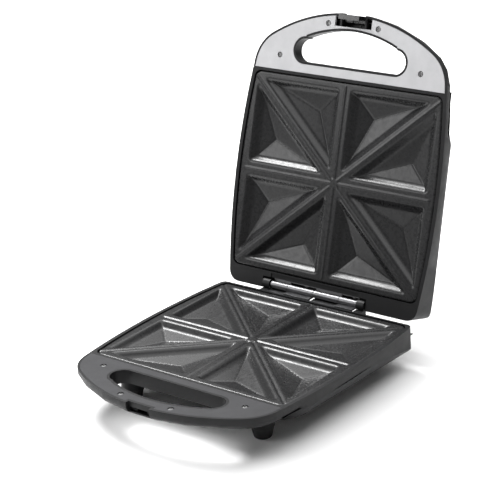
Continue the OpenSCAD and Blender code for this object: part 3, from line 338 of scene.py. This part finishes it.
def even_copy(name):
    """The CAD piece again, with its curves shaded as curves and its flats left flat."""
    source = nodes[name]
    place = source.matrix_world
    bm = bmesh.new()
    made = [bm.verts.new(place @ v.co) for v in source.data.vertices]
    for polygon in source.data.polygons:
        corners = [made[k] for k in polygon.vertices]
        if bm.faces.get(corners) is None:
            bm.faces.new(corners)
    bmesh.ops.remove_doubles(bm, verts=bm.verts, dist=WELD)
    bmesh.ops.dissolve_degenerate(bm, edges=bm.edges, dist=SLIVER)
    bmesh.ops.dissolve_limit(
        bm, angle_limit=FLAT_ANGLE, verts=bm.verts, edges=bm.edges, delimit=set()
    )
    mesh = bpy.data.meshes.new(name + "_form")
    bm.to_mesh(mesh)
    bm.free()
    smooth_by_angle(mesh, CURVE_ANGLE)
    piece = add_piece(name + "_form", mesh, body_of(source)[0], SLOT_OF[name], [name])
    weigh = piece.modifiers.new("even", "WEIGHTED_NORMAL")
    weigh.mode = "FACE_AREA"
    weigh.weight = FLAT_WEIGHT
    weigh.keep_sharp = True
    return piece


# Cooking plates (millimetres)
PLATE_HALF_D = 103.3
PLATE_HALF_W = 114.5
PLATE_BOW = 6.5
PLATE_CORNER = 7.0
PLATE_BORDER = 8.0
SIDE_BORDER = 4.5
PLATE_THICK = 3.0
SKIRT = 9.0
EDGE_R = 1.6  # rounding of the plate's outer edge
RIDGE_HALF = 8.0
DIAGONAL_HALF = 5.5
WALL_DEPTH, WALL_LEAN = 5.5, 4.8  # the solids lean less, which leaves too little to catch the light
POCKET_DEPTH = 9.0
INCIRCLE = 25.3  # radius of the largest circle in a pocket, where it is deepest
TOP_BLEND, FLOOR_BLEND = 2.4, 2.6  # heights over which a wall's two ends are rounded
CREASE_HALF, CREASE_DEPTH = 1.1, 0.35
POCKET_CORNER = 3.2  # rounding of a pocket's corners in plan
LINE_HALF = 1.5  # half width of the sealing lines
GROOVE, BEAD = 0.8, 0.48
HUB_R = 5.0
GRID = 0.86
BOW_R = (PLATE_HALF_D**2 + PLATE_BOW**2) / (2 * PLATE_BOW)
POCKET_X = PLATE_HALF_W - SIDE_BORDER
POCKET_Y = PLATE_HALF_D - PLATE_BORDER
DIAGONAL = np.array([POCKET_X + PLATE_BORDER / 2, POCKET_Y + PLATE_BORDER / 2])
DIAGONAL /= np.linalg.norm(DIAGONAL)


def soft_min(a, b, k):
    """The smaller of two heights, with the crease between them rounded over a height k."""
    h = np.maximum(k - np.abs(a - b), 0) / k
    return np.minimum(a, b) - h * h * k / 4


def half_width(y):
    """Half the plate's width at y, out to its bowed side."""
    return PLATE_HALF_W + PLATE_BOW - BOW_R + np.sqrt(BOW_R**2 - np.minimum(np.abs(y), 400) ** 2)


def pocket_drop(sides):
    """How deep a pocket is at points whose distances inside its three sides are given."""
    short = np.maximum(POCKET_CORNER - np.stack(sides), 0)
    inside = np.where(
        (short > 0).any(0),
        POCKET_CORNER - np.sqrt((short**2).sum(0)),
        np.minimum.reduce(sides),
    )
    wall = -soft_min(0.0 * inside, -inside * WALL_DEPTH / WALL_LEAN, TOP_BLEND)
    floor = WALL_DEPTH + (POCKET_DEPTH - WALL_DEPTH) * (inside - WALL_LEAN) / (INCIRCLE - WALL_LEAN)
    drop = soft_min(wall, floor, FLOOR_BLEND)
    ordered = np.sort(np.stack(sides), axis=0)
    crease = np.exp(-(((ordered[1] - ordered[0]) / CREASE_HALF) ** 2))
    deep = np.clip((inside - WALL_LEAN - 2.0) / 3.0, 0, 1)
    return np.maximum(drop, 0) + CREASE_DEPTH * crease * deep


def plate_height(x, y, raised):
    """Height of a cooking plate's upper face over its rim, for points on or near the plate."""
    ax, ay = np.abs(x), np.abs(y)
    across = ax * DIAGONAL[1] - ay * DIAGONAL[0]
    along_y = [ax - RIDGE_HALF, POCKET_Y - ay, -across - DIAGONAL_HALF]
    along_x = [ay - RIDGE_HALF, POCKET_X - ax, across - DIAGONAL_HALF]
    height = -np.maximum(pocket_drop(along_y), pocket_drop(along_x))
    line = np.minimum(np.minimum(ax, ay), np.abs(across))
    reach = np.maximum(ax - POCKET_X, ay - POCKET_Y)
    profile = np.cos(np.clip(line / LINE_HALF, 0, 1) * math.pi / 2) ** 1.2
    profile = profile * np.clip((PLATE_BORDER / 2 + 1.5 - reach) / 1.2, 0, 1)
    hub = np.clip((HUB_R + 0.8 - np.hypot(x, y)) / 1.2, 0, 1)
    hub = hub * hub * (3 - 2 * hub)
    profile = profile * (1 - hub)
    height = height + profile * (BEAD if raised else -GROOVE) + hub * 0.35
    return height


def wrapped(x, y, inset, drop, raised):
    """Bends a flat sheet over the plate's rounded edge and down its skirt.

    inset moves the outline in and drop moves the face down, for the plate's inner side."""
    corner = PLATE_CORNER - inset
    hx = half_width(y) - inset - corner
    hy = PLATE_HALF_D - inset - corner
    qx, qy = np.abs(x) - hx, np.abs(y) - hy
    away = np.hypot(np.maximum(qx, 0), np.maximum(qy, 0))
    beyond = np.where(away > 0, away, np.maximum(qx, qy)) - corner
    nx = np.where(away > 0, np.maximum(qx, 0) / np.maximum(away, 1e-9), np.where(qx > qy, 1.0, 0.0))
    ny = np.where(away > 0, np.maximum(qy, 0) / np.maximum(away, 1e-9), np.where(qx > qy, 0.0, 1.0))
    nx, ny = nx * np.sign(x), ny * np.sign(y)
    r = EDGE_R
    arc = r * math.pi / 2
    beyond = np.minimum(beyond, arc - r + SKIRT - r - drop)
    turn = np.clip((beyond + r) / r, 0, math.pi / 2)
    on_edge = beyond > -r
    out = np.where(on_edge, -(beyond + r) + r * np.sin(turn), 0)
    down = np.where(on_edge, r * (1 - np.cos(turn)) + np.maximum(beyond + r - arc, 0), 0)
    top = np.where(beyond > 0, 0, plate_height(x, y, raised))
    return np.stack([x + nx * out, y + ny * out, top - down - drop], axis=-1)


def sheet_lines(step):
    """Grid lines over the plate and down its skirt, the coarse ones a part of the fine ones."""
    reach = EDGE_R * (math.pi / 2 - 1) + SKIRT
    count = 4 * round((PLATE_HALF_W + reach) / step / 4)
    rows = 4 * round((PLATE_HALF_D + reach) / step / 4)
    s = np.linspace(-1, 1, 2 * count + 1)
    t = np.linspace(-1, 1, 2 * rows + 1)
    return s * (PLATE_HALF_W + reach), t * (PLATE_HALF_D + reach)


def grid_faces(nx, ny, first, flip):
    """Quads of a grid of ny rows by nx points."""
    i, j = np.meshgrid(np.arange(nx - 1), np.arange(ny - 1))
    a = (j * nx + i + first).ravel()
    quads = np.stack([a, a + 1, a + nx + 1, a + nx], axis=1)
    return quads[:, ::-1] if flip else quads


def rim_of(nx, ny, step, first):
    """Indices round a grid's border, every step-th point, counter-clockwise."""
    bottom = [i for i in range(0, nx - 1, step)]
    right = [j * nx + nx - 1 for j in range(0, ny - 1, step)]
    top = [(ny - 1) * nx + i for i in range(nx - 1, 0, -step)]
    left = [j * nx for j in range(ny - 1, 0, -step)]
    return [first + k for k in bottom + right + top + left]


def plate_mesh(name, raised, place):
    """One cooking plate: its face, its skirt and its inner side as a closed mesh."""
    xs, ys = sheet_lines(GRID)
    coarse = 4
    x, y = np.meshgrid(xs, ys)
    x = x * np.clip(half_width(y) / PLATE_HALF_W, 0.98, 1.1)
    face = wrapped(x, y, 0, 0, raised)
    xc, yc = x[::coarse, ::coarse], y[::coarse, ::coarse]
    inner = wrapped(xc, yc, PLATE_THICK - 0.6, PLATE_THICK - 0.6, raised)
    ny, nx = x.shape
    my, mx = xc.shape
    points = np.concatenate([face.reshape(-1, 3), inner.reshape(-1, 3)]) * MM
    faces = [tuple(q) for q in grid_faces(nx, ny, 0, False)]
    faces += [tuple(q) for q in grid_faces(mx, my, nx * ny, True)]
    outer = rim_of(nx, ny, 1, 0)
    inside = rim_of(mx, my, 1, nx * ny)
    count = len(inside)
    for k in range(count):
        run = [outer[(coarse * k + m) % len(outer)] for m in range(coarse + 1)]
        a, b = inside[k], inside[(k + 1) % count]
        middle = coarse // 2
        faces += [(a, run[m + 1], run[m]) for m in range(middle)]
        faces.append((a, b, run[middle]))
        faces += [(b, run[m + 1], run[m]) for m in range(middle, coarse)]
    mesh = bpy.data.meshes.new(name)
    mesh.from_pydata(points.tolist(), [], faces)
    bm = bmesh.new()
    bm.from_mesh(mesh)
    bmesh.ops.remove_doubles(bm, verts=bm.verts, dist=0.02 * MM)
    bmesh.ops.transform(bm, matrix=place, verts=bm.verts)
    bmesh.ops.recalc_face_normals(bm, faces=bm.faces)
    bm.to_mesh(mesh)
    bm.free()
    smooth_by_angle(mesh, 40)
    return mesh


add_piece(
    "lower_plate_face", plate_mesh("lower_plate_face", False, IN_BASE), "base", "plate_coating",
    ["lower_plate"],
)
add_piece(
    "upper_plate_face", plate_mesh("upper_plate_face", True, IN_LID), "lid", "plate_coating",
    ["upper_plate"],
)


for name in ("base_shell", "base_handle", "lid_shell", "base_handle_cover", "lid_handle_cover"):
    even_copy(name)


# Hinge shelves (millimetres)
KNUCKLE_R = 4.0
KNUCKLE_GAP = 0.6
KNUCKLE_SHARES = (0.2, 0.3, 0.3, 0.2)
SHELF_THICK = 1.4
SHELF_UNDER = 0.5  # from a knuckle's underside down to its shelf


def add_shelf(name, start, length, rear):
    """The base leaf's shelf that runs under one of the lid's knuckles."""
    top = HINGE_Z - KNUCKLE_R - SHELF_UNDER
    low = Vector((start, rear, top - SHELF_THICK)) * MM
    high = Vector((start + length, HINGE_Y + KNUCKLE_R, top)) * MM
    bm = bmesh.new()
    bmesh.ops.create_cube(bm, size=1)
    place = Matrix.Translation((low + high) / 2) @ Matrix.Diagonal((*(high - low), 1))
    bmesh.ops.transform(bm, matrix=place, verts=bm.verts)
    mesh = bpy.data.meshes.new(name)
    bm.to_mesh(mesh)
    bm.free()
    add_piece(name, mesh, "base", "hinge_steel")


def add_shelves():
    leaf_low, leaf_high = (Vector(v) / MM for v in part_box("hinge_leaf_lower"))
    count = len(KNUCKLE_SHARES)
    room = leaf_high.x - leaf_low.x - (count - 1) * KNUCKLE_GAP
    start = leaf_low.x
    for k, share in enumerate(KNUCKLE_SHARES):
        if k % 2 == 0:
            add_shelf(f"hinge_shelf_{k + 1}", start + 0.2, share * room - 0.4, leaf_low.y + 0.3)
        start += share * room + KNUCKLE_GAP


add_shelves()


# Floor and light
def add_floor():
    s = Surface("floor", Specular_IOR_Level=0.3)
    s.colour(s.noise(6, 3, 0.5), (0.88, 0.88, 0.88), (0.91, 0.91, 0.91))
    s.roughness(s.noise(20, 3, 0.5, seed=2), 0.28, 0.36)
    bm = bmesh.new()
    bmesh.ops.create_grid(bm, x_segments=8, y_segments=8, size=12)
    mesh = bpy.data.meshes.new("floor")
    bm.to_mesh(mesh)
    bm.free()
    floor = bpy.data.objects.new("floor", mesh)
    floor.data.materials.append(s.material)
    scene.collection.objects.link(floor)


def add_softbox(name, towards, distance, size, power):
    """An area light in a direction from the object's middle, facing it."""
    data = bpy.data.lights.new(name, "AREA")
    data.shape = "RECTANGLE"
    data.size, data.size_y = size
    data.energy = power
    lamp = bpy.data.objects.new(name, data)
    scene.collection.objects.link(lamp)
    way = Vector(towards).normalized()
    lamp.location = TARGET + way * distance
    lamp.rotation_mode = "QUATERNION"
    lamp.rotation_quaternion = way.to_track_quat("Z", "Y")


def add_light():
    world = bpy.data.worlds.new("studio")
    world.use_nodes = True
    scene.world = world
    sky = world.node_tree.nodes["Background"]
    sky.inputs["Color"].default_value = (1.0, 1.0, 1.0, 1)
    sky.inputs["Strength"].default_value = 0.25
    add_softbox("softbox_rear", (-0.60, 0.17, 0.78), 2.4, (0.8, 0.7), 75)
    add_softbox("softbox_top", (-0.1, 0.25, 1.0), 2.5, (4.2, 4.2), 175)
    add_softbox("softbox_left", (-0.70, -0.68, 0.45), 2.4, (1.0, 1.0), 20)


add_floor()
add_light()
scene.view_settings.view_transform = "Standard"
